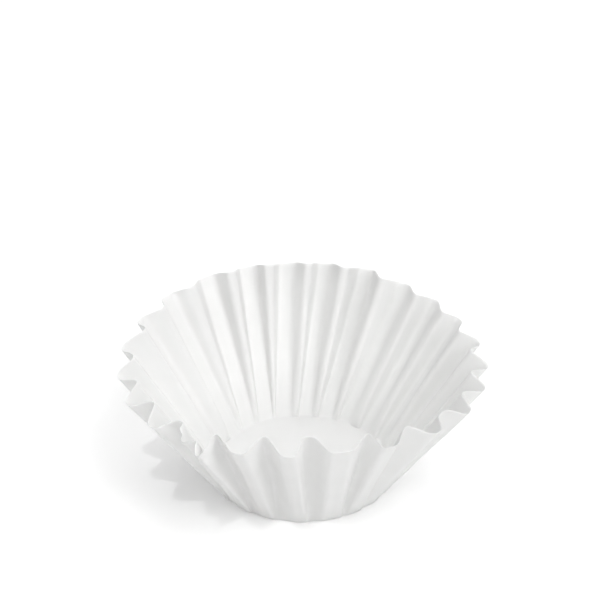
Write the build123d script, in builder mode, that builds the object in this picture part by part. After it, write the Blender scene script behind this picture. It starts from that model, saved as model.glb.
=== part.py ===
from build123d import *
import os
from math import cos, radians, sin

# Basket coffee filter: one round sheet of paper pressed into a flat base and a fluted wall. Millimetres, +Z up.
# The origin is the centre of the base, on its underside. The side seen first faces -Y.

# The flat sheet, before it is pressed
blank_diameter = 210.0
paper_thickness = 0.15

# The pressed form
base_diameter = 76.0
base_scallop = 0.5
fold_rounding = 1.3

# Lobes grow wider towards the base by this ratio, and the ridge keeps this share of the gap left between them
lobe_spread_ratio = 1.6
ridge_foot_ratio = 0.4

# One row for each flute, clockwise seen from above, in degrees. First its outward lobe: where its flat bottom
# starts and ends at the rim, and how steeply it rises from the base. Then the inward ridge that follows: where
# its top starts and ends, and its slope. Last, how far the flute turns from the rim down to the base. The paper
# has been handled, so no two flutes are alike.
FLUTES = [
    (195.0, 191.0, 56.5, 188.0, 185.0, 63.5, -2.0),
    (180.0, 176.0, 58.5, 171.5, 169.0, 66.0, -3.0),
    (164.0, 159.5, 60.5, 156.5, 153.0, 67.0, -4.0),
    (147.0, 141.0, 60.5, 138.5, 134.5, 66.5, -3.0),
    (127.0, 121.5, 58.0, 119.5, 116.5, 67.0, 4.0),
    (112.0, 106.0, 58.5, 104.5, 101.5, 67.0, 6.0),
    (98.0, 92.5, 59.0, 89.0, 86.5, 67.5, 8.5),
    (84.5, 80.0, 58.5, 74.5, 71.5, 69.0, 7.0),
    (70.0, 65.0, 58.0, 57.0, 54.0, 71.0, 8.0),
    (50.5, 46.5, 65.0, 39.0, 36.5, 70.5, 14.0),
    (34.5, 31.0, 64.5, 24.0, 21.5, 68.5, 13.0),
    (20.0, 16.5, 62.5, 10.0, 8.0, 66.5, 11.5),
    (7.0, 3.0, 59.5, -1.5, -3.5, 64.0, 8.5),
    (-6.0, -9.0, 57.0, -14.5, -16.0, 62.5, 6.0),
    (-17.5, -21.0, 56.0, -26.5, -28.5, 61.5, 5.0),
    (-30.5, -34.0, 55.5, -38.5, -43.0, 61.5, 6.0),
    (-45.0, -49.0, 56.5, -54.5, -56.5, 63.0, 7.0),
    (-61.0, -66.0, 58.0, -68.0, -69.5, 64.5, 8.0),
    (-75.0, -82.0, 59.5, -86.5, -90.0, 66.0, 7.0),
    (-92.0, -96.5, 58.5, -101.5, -103.5, 65.0, 3.0),
    (-107.0, -111.0, 57.5, -117.0, -118.5, 62.5, -2.0),
    (-119.4, -121.0, 53.5, -122.6, -123.4, 58.0, -4.0),
    (-124.5, -127.5, 56.0, -130.5, -133.0, 62.0, -4.0),
    (-137.5, -141.0, 55.0, -144.5, -146.5, 62.0, -4.0),
    (-151.5, -155.0, 55.0, -158.0, -160.0, 62.0, -3.0),
]

base_radius = base_diameter / 2
slant_length = (blank_diameter - base_diameter) / 2

# Each rounded fold is drawn out of this many narrow strips, every one as straight as a pressed fold
STRIPS = 4


def crease(tip_direction, foot_direction, slope, scallop):
    """The foot and the tip of a straight crease. It is one slant length long, because the sheet was round."""
    foot_radius = base_radius - scallop
    foot_angle, tip_angle = radians(foot_direction), radians(tip_direction)
    tip_radius = base_radius + slant_length * cos(radians(slope))
    foot = Vector(foot_radius * cos(foot_angle), foot_radius * sin(foot_angle), 0)
    tip = Vector(tip_radius * cos(tip_angle), tip_radius * sin(tip_angle), slant_length * sin(radians(slope)))
    return foot, tip


def lobe_feet(flute):
    """The directions in which the bottom of a flute's lobe starts and ends at the edge of the base."""
    lobe_start, lobe_end = FLUTES[flute % len(FLUTES)][:2]
    turn = FLUTES[flute % len(FLUTES)][-1]
    middle = (lobe_start + lobe_end) / 2 + turn
    reach = (lobe_start - lobe_end) / 2 * lobe_spread_ratio
    return middle + reach, middle - reach


def flute_creases(flute):
    """The creases of one flute: the start and the end of its lobe, then the start and the end of its ridge."""
    lobe_start, lobe_end, lobe_slope, ridge_start, ridge_end, ridge_slope = FLUTES[flute][:6]
    foot_start, foot_end = lobe_feet(flute)
    gap = (foot_end - lobe_feet(flute + 1)[0]) % 360
    ridge_foot_start = foot_end - gap * (1 - ridge_foot_ratio) / 2
    ridge_foot_end = foot_end - gap * (1 + ridge_foot_ratio) / 2
    return [
        crease(lobe_start, foot_start, lobe_slope, 0),
        crease(lobe_end, foot_end, lobe_slope, 0),
        crease(ridge_start, ridge_foot_start, ridge_slope, base_scallop),
        crease(ridge_end, ridge_foot_end, ridge_slope, base_scallop),
    ]


def rounded_folds(corners):
    """A closed line through these corners with every one rounded: its points, and its direction at each."""
    spots = []
    for place, corner in enumerate(corners):
        back, forth = corners[place - 1] - corner, corners[(place + 1) % len(corners)] - corner
        reach = min(fold_rounding, 0.45 * back.length, 0.45 * forth.length)
        start, end = corner + back.normalized() * reach, corner + forth.normalized() * reach
        fold = Bezier(start, corner, end, mode=Mode.PRIVATE)
        spots += [(fold @ (step / STRIPS), fold % (step / STRIPS)) for step in range(STRIPS + 1)]
    return spots


def one_sheet_inside(point, tangent, along):
    """This point of the outer face, moved through the paper to its inner face."""
    return point + tangent.cross(along).normalized() * paper_thickness


feet, tips = zip(*[ends for flute in range(len(FLUTES)) for ends in flute_creases(flute)])
outer_feet, outer_tips, inner_feet, inner_tips = [], [], [], []
for (foot, foot_tangent), (tip, tip_tangent) in zip(rounded_folds(feet), rounded_folds(tips)):
    along = (tip - foot).normalized()
    inner_foot = one_sheet_inside(foot, foot_tangent, along)
    outer_feet.append(foot)
    outer_tips.append(tip)
    inner_feet.append(inner_foot + along * ((paper_thickness - inner_foot.Z) / along.Z))
    inner_tips.append(one_sheet_inside(tip, tip_tangent, along))


def strips_between(low, high):
    """The narrow strips that join one closed row of points to another, each of two flat triangles."""
    strips = []
    for place in range(len(low)):
        before = place - 1
        strips.append(Face(Wire.make_polygon([low[before], low[place], high[place]])))
        strips.append(Face(Wire.make_polygon([low[before], high[place], high[before]])))
    return strips


with BuildPart() as paper_filter:
    underside = Face(Wire.make_polygon(outer_feet))
    inside_floor = Face(Wire.make_polygon(inner_feet))
    outer_wall = strips_between(outer_feet, outer_tips)
    inner_wall = strips_between(inner_feet, inner_tips)
    cut_rim = strips_between(outer_tips, inner_tips)
    add(Solid(Shell([underside, inside_floor, *outer_wall, *inner_wall, *cut_rim])))

paper_filter.part.label = "paper_filter"
os.makedirs("parts", exist_ok=True)
export_step(paper_filter.part, "parts/paper_filter.step")
print("paper_filter valid", paper_filter.part.is_valid, "volume", round(paper_filter.part.volume, 1), "mm3")
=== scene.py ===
# %% [markdown]
# # A paper coffee filter, pressed into flutes
#
# The real filter starts as one flat disc of soft white paper. A stack of discs is pressed between a
# fluted punch and die, which folds the wall into ridges and lobes and leaves the middle flat, so that it
# can stand in the basket of a coffee maker. This lesson makes it the same way: a flat disc first, then
# the pressing, then the thickness of the paper. The disc keeps its own flat picture of itself, its UV
# map, so that the fibres of the paper follow the folds.
#
# The frame holds the plain solid of the same filter, with the size of the finished sheet. It gives the
# size that the finished sheet has to keep to.

# %% Load the frame
from math import cos, pi, radians, sin

import bpy
import numpy as np
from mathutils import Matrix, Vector, noise


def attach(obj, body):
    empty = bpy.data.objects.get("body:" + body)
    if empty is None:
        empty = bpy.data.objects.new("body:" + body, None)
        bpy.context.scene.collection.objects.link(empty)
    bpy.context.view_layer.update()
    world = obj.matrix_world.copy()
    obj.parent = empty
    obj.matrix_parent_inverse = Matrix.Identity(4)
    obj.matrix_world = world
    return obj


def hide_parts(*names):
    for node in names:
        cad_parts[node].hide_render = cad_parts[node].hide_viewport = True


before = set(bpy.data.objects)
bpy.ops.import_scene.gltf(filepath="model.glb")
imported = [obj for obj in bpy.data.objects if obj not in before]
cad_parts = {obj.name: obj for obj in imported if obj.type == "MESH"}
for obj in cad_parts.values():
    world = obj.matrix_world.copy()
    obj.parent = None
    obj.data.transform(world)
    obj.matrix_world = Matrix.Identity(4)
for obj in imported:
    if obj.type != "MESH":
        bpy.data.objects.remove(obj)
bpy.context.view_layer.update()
bpy.ops.object.select_all(action="DESELECT")

# %% [markdown]
# ## The camera
#
# The filter is seen from the front and from well above, with a long lens. A long lens flattens
# perspective, which is why the near lobes look no larger than the far ones. The picture is square.

# %% Place the camera
CAMERA_PLACE = Vector((-0.00106, -0.6156, 0.4456))
CAMERA_DOWN_DEG = 30.64
SENSOR_MM = 36.0
LENS_MM = 108.88

bpy.ops.object.camera_add(location=CAMERA_PLACE, rotation=(radians(90 - CAMERA_DOWN_DEG), 0, 0))
camera = bpy.context.object
camera.name = "camera"
camera.data.sensor_width = SENSOR_MM
camera.data.lens = LENS_MM
bpy.context.scene.camera = camera
print("The camera stands", round(CAMERA_PLACE.length, 3), "m from the middle of the base")

# %% [markdown]
# ## The flutes
#
# Every crease of the wall is a straight line that starts at the edge of the base and is as long as the
# slant of the sheet, so a steep crease ends high and near, and a flat one ends low and far out. A flute
# is a flat-bottomed lobe, a flank, a narrow ridge and another flank, with a crease between each and the
# next. This filter has been handled, so each flute leans and opens its own way, and one of them, at the
# front on the left, is pinched.
#
# A wave along the rim of a cone would be quicker, but it stretches the paper, and its flutes are all
# alike. A list of creases keeps the paper's length and lets each flute have its own width, slope and
# turn.

# %% Describe each flute
# Clockwise from above, in degrees: where the bottom of the lobe starts and ends at the rim, and its
# slope; where the ridge that follows starts and ends, and its slope; then how far the flute turns from
# the rim to the base.
FLUTES = [
    (195.0, 191.0, 56.5, 188.0, 185.0, 63.5, -2.0),
    (180.0, 176.0, 58.5, 171.5, 169.0, 66.0, -3.0),
    (164.0, 159.5, 60.5, 156.5, 153.0, 67.0, -4.0),
    (147.0, 141.0, 60.5, 138.5, 134.5, 66.5, -3.0),
    (127.0, 121.5, 58.0, 119.5, 116.5, 67.0, 4.0),
    (112.0, 106.0, 58.5, 104.5, 101.5, 67.0, 6.0),
    (98.0, 92.5, 59.0, 89.0, 86.5, 67.5, 8.5),
    (84.5, 80.0, 58.5, 74.5, 71.5, 69.0, 7.0),
    (70.0, 65.0, 58.0, 57.0, 54.0, 71.0, 8.0),
    (50.5, 46.5, 65.0, 39.0, 36.5, 70.5, 14.0),
    (34.5, 31.0, 64.5, 24.0, 21.5, 68.5, 13.0),
    (20.0, 16.5, 62.5, 10.0, 8.0, 66.5, 11.5),
    (7.0, 3.0, 59.5, -1.5, -3.5, 64.0, 8.5),
    (-6.0, -9.0, 57.0, -14.5, -16.0, 62.5, 6.0),
    (-17.5, -21.0, 56.0, -26.5, -28.5, 61.5, 5.0),
    (-30.5, -34.0, 55.5, -38.5, -43.0, 61.5, 6.0),
    (-45.0, -49.0, 56.5, -54.5, -56.5, 63.0, 7.0),
    (-61.0, -66.0, 58.0, -68.0, -69.5, 64.5, 8.0),
    (-75.0, -82.0, 59.5, -86.5, -90.0, 66.0, 7.0),
    (-92.0, -96.5, 58.5, -101.5, -103.5, 65.0, 3.0),
    (-107.0, -111.0, 57.5, -117.0, -118.5, 62.5, -2.0),
    (-119.4, -121.0, 53.5, -122.6, -123.4, 58.0, -4.0),
    (-124.5, -127.5, 56.0, -130.5, -133.0, 62.0, -4.0),
    (-137.5, -141.0, 55.0, -144.5, -146.5, 62.0, -4.0),
    (-151.5, -155.0, 55.0, -158.0, -160.0, 62.0, -3.0),
]
print(len(FLUTES), "flutes go round the wall")

# %% [markdown]
# Lobes grow wider towards the base, in degrees, until each nearly meets the next. The foot of a ridge
# lies in the gap that is left, close to the next lobe, so one flank of the ridge is broad at its foot and
# the other is narrow. Where a ridge ends, the edge of the base steps inwards by half a millimetre, and by
# less in a gap under 7 degrees.

# %% Place the creases
BLANK_RADIUS = 0.105
BASE_RADIUS = 0.038
LOBE_SPREAD = 1.6
RIDGE_FOOT_START = 0.66
RIDGE_FOOT_END = 0.9
BASE_SCALLOP = 0.0005
WIDE_GAP_DEG = 7.0

slant_length = BLANK_RADIUS - BASE_RADIUS


def crease(tip_direction, foot_direction, slope, scallop):
    """The foot and the tip of one straight crease, one slant length apart."""
    foot_radius = BASE_RADIUS - scallop
    foot_angle, tip_angle = radians(foot_direction), radians(tip_direction)
    tip_radius = BASE_RADIUS + slant_length * cos(radians(slope))
    foot = (foot_radius * cos(foot_angle), foot_radius * sin(foot_angle), 0)
    tip = (tip_radius * cos(tip_angle), tip_radius * sin(tip_angle), slant_length * sin(radians(slope)))
    return np.array([foot, tip])


def lobe_feet(flute):
    """The directions in which the bottom of a lobe starts and ends at the base."""
    lobe_start, lobe_end = FLUTES[flute % len(FLUTES)][:2]
    middle = (lobe_start + lobe_end) / 2 + FLUTES[flute % len(FLUTES)][-1]
    reach = (lobe_start - lobe_end) / 2 * LOBE_SPREAD
    return middle + reach, middle - reach


def flute_creases(flute):
    """The four creases of a flute: the start and the end of its lobe, the start and the end of its ridge."""
    lobe_start, lobe_end, lobe_slope, ridge_start, ridge_end, ridge_slope = FLUTES[flute][:6]
    foot_start, foot_end = lobe_feet(flute)
    gap = (foot_end - lobe_feet(flute + 1)[0]) % 360
    scallop = BASE_SCALLOP * min(1, gap / WIDE_GAP_DEG)
    return [
        crease(lobe_start, foot_start, lobe_slope, 0),
        crease(lobe_end, foot_end, lobe_slope, 0),
        crease(ridge_start, foot_end - gap * RIDGE_FOOT_START, ridge_slope, scallop),
        crease(ridge_end, foot_end - gap * RIDGE_FOOT_END, ridge_slope, scallop),
    ]


creases = np.array([ends for flute in range(len(FLUTES)) for ends in flute_creases(flute)])
print("The wall has", len(creases), "creases, each", round(slant_length * 1000), "mm long")

# %% [markdown]
# A pressed crease in soft paper is a little round, and it opens out towards the rim. Each one is drawn as
# a short quadratic curve, five columns of points wide, and takes at most 45 percent of the facet beside
# it. The rest of the facet stays flat, with three columns of points across it. A bevel on the finished
# mesh could round them too, but it would cut across the small squares, while here every column of points
# runs straight up its own line of the fold.

# %% Round the creases
FOOT_ROUNDING = 0.0013
TIP_ROUNDING = 0.0022
LARGEST_SHARE = 0.45
FOLD_COLUMNS = 5
FACET_COLUMNS = 3


def rounded_folds(corners, rounding):
    """A closed line of points through these corners, each one rounded over up to this length to each side."""
    back = np.roll(corners, 1, axis=0) - corners
    forth = np.roll(corners, -1, axis=0) - corners
    back_length = np.linalg.norm(back, axis=1, keepdims=True)
    forth_length = np.linalg.norm(forth, axis=1, keepdims=True)
    starts = corners + back / back_length * np.minimum(rounding, LARGEST_SHARE * back_length)
    ends = corners + forth / forth_length * np.minimum(rounding, LARGEST_SHARE * forth_length)
    line = []
    for place, corner in enumerate(corners):
        for way in np.linspace(0, 1, FOLD_COLUMNS):
            from_start = (1 - way) ** 2 * starts[place]
            line.append(from_start + 2 * way * (1 - way) * corner + way**2 * ends[place])
        next_start = starts[(place + 1) % len(corners)]
        for way in np.linspace(0, 1, FACET_COLUMNS + 2)[1:-1]:
            line.append((1 - way) * ends[place] + way * next_start)
    return np.array(line)


feet = rounded_folds(creases[:, 0], FOOT_ROUNDING)
tips = rounded_folds(creases[:, 1], TIP_ROUNDING)
columns = len(tips)
rim_steps = np.linalg.norm(np.roll(tips, -1, axis=0) - tips, axis=1)
blank_edge = 2 * pi * BLANK_RADIUS
print("The rim is", round(rim_steps.sum() * 1000), "mm long, the edge of the blank", round(blank_edge * 1000))

# %% [markdown]
# ## The flat blank
#
# The blank is a disc 210 mm across. A circle primitive gives its edge, and extruding that edge inwards,
# ring by ring, gives a net of small squares. The rings lie close together at the bend, where the paper
# turns up within three millimetres. A filled circle would be one large face, with nothing to fold.

# %% Draw the blank, ring by ring
WALL_DISTANCES = [0.067, 0.066] + [step / 1000 for step in range(64, 1, -2)] + [0.0008, 0.0004, 0.0]
BASE_RING_RADII = [0.0372, 0.0362, 0.0350, 0.0330, 0.0300, 0.0250, 0.0190, 0.0120, 0.0050]

bpy.ops.mesh.primitive_circle_add(vertices=columns, radius=BLANK_RADIUS, fill_type="NOTHING")
paper = bpy.context.object
paper.name = "pressed_sheet"
bpy.ops.object.mode_set(mode="EDIT")
bpy.ops.mesh.select_all(action="SELECT")
radius_now = BLANK_RADIUS
wall_ring_radii = [BASE_RADIUS + distance for distance in WALL_DISTANCES[1:]]
for radius_next in wall_ring_radii + BASE_RING_RADII:
    bpy.ops.mesh.extrude_edges_move()
    shrink = radius_next / radius_now
    bpy.ops.transform.resize(value=(shrink, shrink, 1))
    radius_now = radius_next
bpy.ops.mesh.edge_face_add()
bpy.ops.mesh.poke()
bpy.ops.mesh.select_all(action="SELECT")
bpy.ops.mesh.normals_make_consistent(inside=False)
bpy.ops.object.mode_set(mode="OBJECT")
if paper.data.polygons[0].normal.z < 0:
    paper.data.flip_normals()
print("The flat blank has", len(paper.data.polygons), "faces")

# %% [markdown]
# The columns are now spaced as the paper will need them: close together at the creases and wide across
# the facets. The sheet's map is laid on while it is flat. Laid on later, it would have to be unwrapped
# from a folded form, and the fibres would stretch.

# %% Space the columns and lay the map
shares = np.concatenate([[0], np.cumsum(rim_steps)[:-1]]) / rim_steps.sum()
flat_directions = radians(FLUTES[0][0]) - 2 * pi * shares
places = []
for vertex in paper.data.vertices:
    # Columns count clockwise from +Y, seen from above. The middle vertex stays where it is.
    radius = vertex.co.length
    turns = (pi / 2 - np.arctan2(vertex.co.y, vertex.co.x)) / (2 * pi)
    column = int(round(turns * columns)) % columns
    places.append((column, radius))
    if radius > BASE_RING_RADII[-1] / 2:
        vertex.co = (radius * cos(flat_directions[column]), radius * sin(flat_directions[column]), 0)
sheet_map = paper.data.uv_layers.new(name="flat_sheet")
for loop in paper.data.loops:
    spot = paper.data.vertices[loop.vertex_index].co
    sheet_map.data[loop.index].uv = (0.5 + spot.x / (2 * BLANK_RADIUS), 0.5 + spot.y / (2 * BLANK_RADIUS))
print("The map is one blank wide")

# %% [markdown]
# ## The pressing
#
# Each point of the flat blank knows its ring and its column. On the wall it goes up its own crease, as
# far as it was from the edge of the base. On the base it stays where it is, drawn a little towards the
# edge as the flutes begin. The bend between base and wall reaches 1.3 mm to each side of that edge.
#
# A cloth simulation would need the punch and the die as well, and its flutes couldn't be shaped one by
# one. Moving each point along its crease gives the flutes exactly, and keeps every crease as long as the
# paper is.
#
# The ridges aren't quite straight: they bulge inwards, most of all a quarter of the way up. They don't
# where the rim was squeezed, at the front on the left. That place is a share for each column, 1 in its
# middle and about a third at 13 degrees to each side.

# %% Press the blank
BEND_REACH = 0.0013
RIDGE_BULGE = 0.002
SQUEEZED_DIRECTION = -127.0
SQUEEZED_REACH = 13.0
SAME_RING = 1e-6

tip_directions = np.degrees(np.arctan2(tips[:, 1], tips[:, 0]))
squeezed = np.exp(-(((tip_directions - SQUEEZED_DIRECTION) / SQUEEZED_REACH) ** 2))


def wall_point(column, distance):
    """A point this far up the wall from the edge of the base, inwards on a ridge and round at the bend."""
    foot, tip = feet[column], tips[column]
    along = (tip - foot) / np.linalg.norm(tip - foot)
    outwards = foot / np.linalg.norm(foot)
    ridge_share = (BASE_RADIUS - np.linalg.norm(foot)) / BASE_SCALLOP
    bulge = RIDGE_BULGE * ridge_share * (1 - squeezed[column])
    deeper = outwards * bulge * sin(pi * max(0, distance / slant_length) ** 0.5)
    if distance >= BEND_REACH:
        return foot + along * distance - deeper
    share = (distance / BEND_REACH + 1) / 2
    level_start = foot - outwards * BEND_REACH
    slope_end = foot + along * BEND_REACH
    return (1 - share) ** 2 * level_start + 2 * share * (1 - share) * foot + share**2 * slope_end - deeper


def base_point(column, radius):
    """A point of the flat base, whose edge is scalloped and whose middle is round."""
    foot = feet[column]
    edge = np.linalg.norm(foot) - BEND_REACH
    scalloped = foot / np.linalg.norm(foot) * edge * radius / BASE_RING_RADII[0]
    angle = flat_directions[column]
    plain = np.array([cos(angle), sin(angle), 0]) * radius
    blend = (radius / BASE_RADIUS) ** 3
    return scalloped * blend + plain * (1 - blend)


flat = [vertex.co.copy() for vertex in paper.data.vertices]
for vertex, (column, radius) in zip(paper.data.vertices, places):
    if radius < BASE_RING_RADII[-1] / 2:
        continue
    distance = radius - BASE_RADIUS
    vertex.co = wall_point(column, distance) if distance > -SAME_RING else base_point(column, radius)
paper.data.update()
print("The pressed sheet stands", round(max(v.co.z for v in paper.data.vertices) * 1000, 1), "mm high")

# %% [markdown]
# Paper that has been handled has faint waves and small crumples. They are noise along the normal of the
# sheet, read at each point's place on the flat blank: long waves of a fifth of a millimetre, and smaller
# ones of a few hundredths. Both fade out towards the base, which stays flat on the table. Where the rim
# was squeezed, crumples of up to a millimetre and a half reach three centimetres down. Bump in the
# material would shade such forms, but the edge of the rim would stay smooth.

# %% Wrinkle the wall
WAVE_HEIGHT = 0.00022
WAVE_SCALE = 60
WAVE_SEED = Vector((3, 7, 11))
CRUMPLE_HEIGHT = 0.00005
CRUMPLE_SCALE = 230
CRUMPLE_SEED = Vector((5, 1, 2))
FADE_START = 0.003
FADE_LENGTH = 0.014
SQUEEZED_HEIGHT = 0.0015
SQUEEZED_SCALE = 260
SQUEEZED_SEED = Vector((8, 4, 6))
SQUEEZED_DEPTH = 0.03

normals = [vertex.normal.copy() for vertex in paper.data.vertices]
for vertex, normal, spot, (column, radius) in zip(paper.data.vertices, normals, flat, places):
    fade = min(1, max(0, (radius - BASE_RADIUS - FADE_START) / FADE_LENGTH))
    wave = noise.noise(spot * WAVE_SCALE + WAVE_SEED)
    crumple = noise.noise(spot * CRUMPLE_SCALE + CRUMPLE_SEED)
    near_rim = max(0, 1 - (BLANK_RADIUS - radius) / SQUEEZED_DEPTH)
    squeeze = squeezed[column] * near_rim * noise.noise(spot * SQUEEZED_SCALE + SQUEEZED_SEED)
    handled = fade * (wave * WAVE_HEIGHT + crumple * CRUMPLE_HEIGHT)
    vertex.co += normal * (handled + squeeze * SQUEEZED_HEIGHT)
paper.data.update()
print("The waves are", WAVE_HEIGHT * 1000, "mm high, the squeezed crumples", SQUEEZED_HEIGHT * 1000)

# %% [markdown]
# The sheet is still a skin with no thickness. The Solidify modifier adds the inner face, 0.15 mm away,
# and closes the rim between them. It grows to the inside only, so that the outside keeps its size. At the
# very rim the paper keeps a third of its thickness, given by a vertex group, because a cut edge is
# pressed thin and a square one would catch the light as a hard white line.

# %% Give the sheet its thickness
PAPER_THICKNESS = 0.00015
RIM_SHARE = 0.3
RIM_WIDTH = 0.0005

inside_rim = [place for place, (column, radius) in enumerate(places) if radius < BLANK_RADIUS - RIM_WIDTH]
soft_rim = paper.vertex_groups.new(name="full_thickness")
soft_rim.add(inside_rim, 1, "REPLACE")
thickness = paper.modifiers.new("thickness", "SOLIDIFY")
thickness.vertex_group = soft_rim.name
thickness.thickness_vertex_group = RIM_SHARE
thickness.thickness = PAPER_THICKNESS
thickness.offset = 1
thickness.use_even_offset = False
bpy.context.view_layer.objects.active = paper
bpy.ops.object.modifier_apply(modifier=thickness.name)
for face in paper.data.polygons:
    face.use_smooth = True
print("The sheet has", sum(len(face.vertices) - 2 for face in paper.data.polygons), "triangles")

# %% [markdown]
# ## The paper
#
# Filter paper is soft and matt. Its fibres lie in all directions and clump a little, which shows as faint
# clouds when light comes through. A photograph of paper could be laid on the sheet, but noise gives the
# same at any distance and never repeats. Each of three layers is noise stretched one way, so its grains
# look like fibres, and the layers are turned against each other. A node group holds all this, with the
# place as its input, and puts out a shade and a height, so any other paper could use it too.

# %% Build the paper effect
CLOUD_SCALE = 24.0
CLOUD_SHARE = 0.65
FIBRE_LENGTH_SCALE = 70.0
FIBRE_WIDTH_SCALE = 520.0
FIBRE_SHARE = 0.35
FIBRE_TURNS_DEG = (20.0, 80.0, 140.0)
NOISE_LOW = 0.3
NOISE_HIGH = 0.7
DARKEST_SHADE = 0.97

formation = bpy.data.node_groups.new("paper_formation", "ShaderNodeTree")
formation.interface.new_socket(name="Vector", in_out="INPUT", socket_type="NodeSocketVector")
for socket_name in ("Shade", "Height"):
    formation.interface.new_socket(name=socket_name, in_out="OUTPUT", socket_type="NodeSocketFloat")
nodes, links = formation.nodes, formation.links
group_in = nodes.new("NodeGroupInput")
group_out = nodes.new("NodeGroupOutput")


def noise_of(vector, scale, detail):
    """A noise texture of this vector."""
    texture = nodes.new("ShaderNodeTexNoise")
    texture.inputs["Scale"].default_value = scale
    texture.inputs["Detail"].default_value = detail
    links.new(vector, texture.inputs["Vector"])
    return texture.outputs["Fac"]


def math_of(operation, first, second):
    """One math node. Each of its two values is a socket or a number."""
    node = nodes.new("ShaderNodeMath")
    node.operation = operation
    for place, value in enumerate((first, second)):
        if isinstance(value, float):
            node.inputs[place].default_value = value
        else:
            links.new(value, node.inputs[place])
    return node.outputs[0]


def range_of(value, low, high):
    """The middle values of a noise, spread over this range."""
    node = nodes.new("ShaderNodeMapRange")
    node.inputs["From Min"].default_value = NOISE_LOW
    node.inputs["From Max"].default_value = NOISE_HIGH
    node.inputs["To Min"].default_value = low
    node.inputs["To Max"].default_value = high
    links.new(value, node.inputs["Value"])
    return node.outputs["Result"]


fibre_layers = []
for turn in FIBRE_TURNS_DEG:
    lay = nodes.new("ShaderNodeMapping")
    lay.inputs["Rotation"].default_value = (0, 0, radians(turn))
    lay.inputs["Scale"].default_value = (FIBRE_LENGTH_SCALE, FIBRE_WIDTH_SCALE, 1)
    links.new(group_in.outputs["Vector"], lay.inputs["Vector"])
    fibre_layers.append(noise_of(lay.outputs["Vector"], 1.0, 1.0))
fibres = math_of("MAXIMUM", math_of("MAXIMUM", fibre_layers[0], fibre_layers[1]), fibre_layers[2])
clouds = noise_of(group_in.outputs["Vector"], CLOUD_SCALE, 3.0)
mottle = math_of("ADD", math_of("MULTIPLY", clouds, CLOUD_SHARE), math_of("MULTIPLY", fibres, FIBRE_SHARE))
links.new(range_of(mottle, DARKEST_SHADE, 1.0), group_out.inputs["Shade"])
links.new(fibres, group_out.inputs["Height"])
print("The paper effect has", len(nodes), "nodes")

# %% [markdown]
# The material itself is a rough white surface whose shade and height come from that effect. Light also
# has to reach the far side of the sheet: a Translucent shader is mixed in by a fifth, because a soft glow
# in the shaded flutes is what tells paper from card. Transmission is made for clear materials, and paper
# scatters the light that goes through it.

# %% Make the paper
PAPER_COLOUR = (0.935, 0.935, 0.93)
LIT_THROUGH_COLOUR = (0.95, 0.95, 0.94, 1)
LIGHT_THROUGH = 0.2
PAPER_ROUGHNESS = 0.9
PAPER_SPECULAR = 0.15
FIBRE_HEIGHT = 0.00004
FIBRE_STRENGTH = 0.4

paper_white = bpy.data.materials.new("filter_paper")
paper_white.use_nodes = True
nodes, links = paper_white.node_tree.nodes, paper_white.node_tree.links
surface = nodes["Principled BSDF"]
surface.inputs["Roughness"].default_value = PAPER_ROUGHNESS
surface.inputs["Specular IOR Level"].default_value = PAPER_SPECULAR
sheet_place = nodes.new("ShaderNodeUVMap")
sheet_place.uv_map = "flat_sheet"
effect = nodes.new("ShaderNodeGroup")
effect.node_tree = formation
links.new(sheet_place.outputs["UV"], effect.inputs["Vector"])
tint = nodes.new("ShaderNodeVectorMath")
tint.operation = "SCALE"
tint.inputs[0].default_value = PAPER_COLOUR
links.new(effect.outputs["Shade"], tint.inputs["Scale"])
links.new(tint.outputs["Vector"], surface.inputs["Base Color"])
relief = nodes.new("ShaderNodeBump")
relief.inputs["Strength"].default_value = FIBRE_STRENGTH
relief.inputs["Distance"].default_value = FIBRE_HEIGHT
links.new(effect.outputs["Height"], relief.inputs["Height"])
links.new(relief.outputs["Normal"], surface.inputs["Normal"])
through = nodes.new("ShaderNodeBsdfTranslucent")
through.inputs["Color"].default_value = LIT_THROUGH_COLOUR
both_sides = nodes.new("ShaderNodeMixShader")
both_sides.inputs["Fac"].default_value = LIGHT_THROUGH
links.new(surface.outputs["BSDF"], both_sides.inputs[1])
links.new(through.outputs["BSDF"], both_sides.inputs[2])
links.new(both_sides.outputs[0], nodes["Material Output"].inputs["Surface"])
paper.data.materials.append(paper_white)
print("The material is", paper_white.name, "with", len(nodes), "nodes")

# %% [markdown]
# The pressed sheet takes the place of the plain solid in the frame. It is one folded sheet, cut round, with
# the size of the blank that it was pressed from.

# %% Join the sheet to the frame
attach(paper, "root")
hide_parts("paper_filter")
print("The blank's area is", round(pi * BLANK_RADIUS**2 * 10000, 1), "square centimetres")

# %% [markdown]
# ## The floor and the light
#
# The filter stands on a plain white table, which shows its soft scalloped shadow at the left. The
# background of such a picture is pure white, but the lamps that would bleach the table would bleach the
# paper too. So the table adds a faint glow that only the camera sees, by the Is Camera Ray output of a
# Light Path node: it lifts the table to white and lights nothing else. The table lies a tenth of a
# millimetre below the base, so that the two don't share one plane.

# %% Lay the floor
FLOOR_SIDE = 6.0
FLOOR_DROP = 0.0001
FLOOR_COLOUR = (0.9, 0.9, 0.9, 1)
FLOOR_GLOW = 0.15

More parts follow.
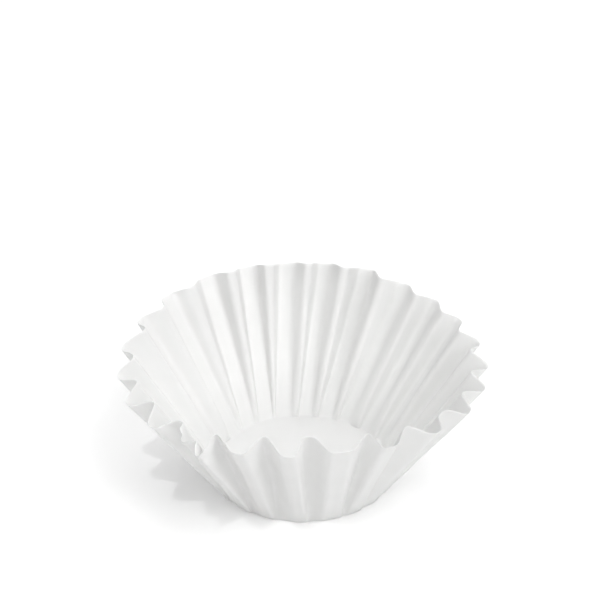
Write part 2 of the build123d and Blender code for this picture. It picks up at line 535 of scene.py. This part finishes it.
bpy.ops.mesh.primitive_plane_add(size=FLOOR_SIDE, location=(0, 0, -FLOOR_DROP))
floor = bpy.context.object
floor.name = "table"
floor_white = bpy.data.materials.new("table_white")
floor_white.use_nodes = True
nodes = floor_white.node_tree.nodes
links = floor_white.node_tree.links
nodes.clear()
lit = nodes.new("ShaderNodeBsdfDiffuse")
lit.inputs["Color"].default_value = FLOOR_COLOUR
glow = nodes.new("ShaderNodeEmission")
path = nodes.new("ShaderNodeLightPath")
only_camera = nodes.new("ShaderNodeMath")
only_camera.operation = "MULTIPLY"
only_camera.inputs[1].default_value = FLOOR_GLOW
both = nodes.new("ShaderNodeAddShader")
out = nodes.new("ShaderNodeOutputMaterial")
links.new(path.outputs["Is Camera Ray"], only_camera.inputs[0])
links.new(only_camera.outputs[0], glow.inputs["Strength"])
links.new(lit.outputs[0], both.inputs[0])
links.new(glow.outputs[0], both.inputs[1])
links.new(both.outputs[0], out.inputs["Surface"])
floor.data.materials.append(floor_white)
print("The table is", FLOOR_SIDE, "m wide")

# %% [markdown]
# Each lamp is a square panel three metres from the filter. A row gives its direction round the filter and
# its height over the table, both in degrees, then the side of the panel in metres and its power in watts.
# The three strongest panels stand at the right, two in front and one behind, so the flanks that face left
# are darker and the flutes stand out. One large lamp would be simpler, but it leaves white paper flat.
# The last lamp is small, and draws the scalloped edge of the shadow. Light from the room fills in the
# rest.

# %% Hang the lamps
LAMP_DISTANCE = 3.0
LAMPS = [
    ("right_front", -50.0, 58.0, 1.2, 26.5),
    ("right_front_low", -42.0, 30.0, 1.2, 21.0),
    ("right_behind_low", 50.0, 30.0, 1.8, 19.0),
    ("right_behind", 70.0, 58.0, 1.2, 9.0),
    ("behind", 110.0, 58.0, 1.2, 15.0),
    ("front_low", -85.0, 28.0, 1.2, 10.0),
    ("front", -88.0, 57.0, 1.2, 5.5),
    ("left_low", -157.0, 29.0, 1.2, 14.5),
    ("shadow_lamp", -103.0, 61.5, 0.08, 12.5),
]
middle_of_filter = Vector((0, 0, 0.03))
for name, direction, height, side, watts in LAMPS:
    level = cos(radians(height))
    away = Vector((level * cos(radians(direction)), level * sin(radians(direction)), sin(radians(height))))
    bpy.ops.object.light_add(type="AREA", location=middle_of_filter + away * LAMP_DISTANCE)
    lamp = bpy.context.object
    lamp.name = name
    lamp.data.shape = "SQUARE"
    lamp.data.size = side
    lamp.data.energy = watts
    lamp.rotation_euler = (-away).to_track_quat("-Z", "Y").to_euler()
print("The lamps give", round(sum(row[-1] for row in LAMPS)), "watts")

# %% Light the room
ROOM_STRENGTH = 0.19

world = bpy.data.worlds.new("room")
bpy.context.scene.world = world
world.use_nodes = True
world.node_tree.nodes["Background"].inputs["Color"].default_value = (1, 1, 1, 1)
world.node_tree.nodes["Background"].inputs["Strength"].default_value = ROOM_STRENGTH
bpy.context.scene.view_settings.view_transform = "Standard"
print("The room adds", ROOM_STRENGTH, "from all sides")
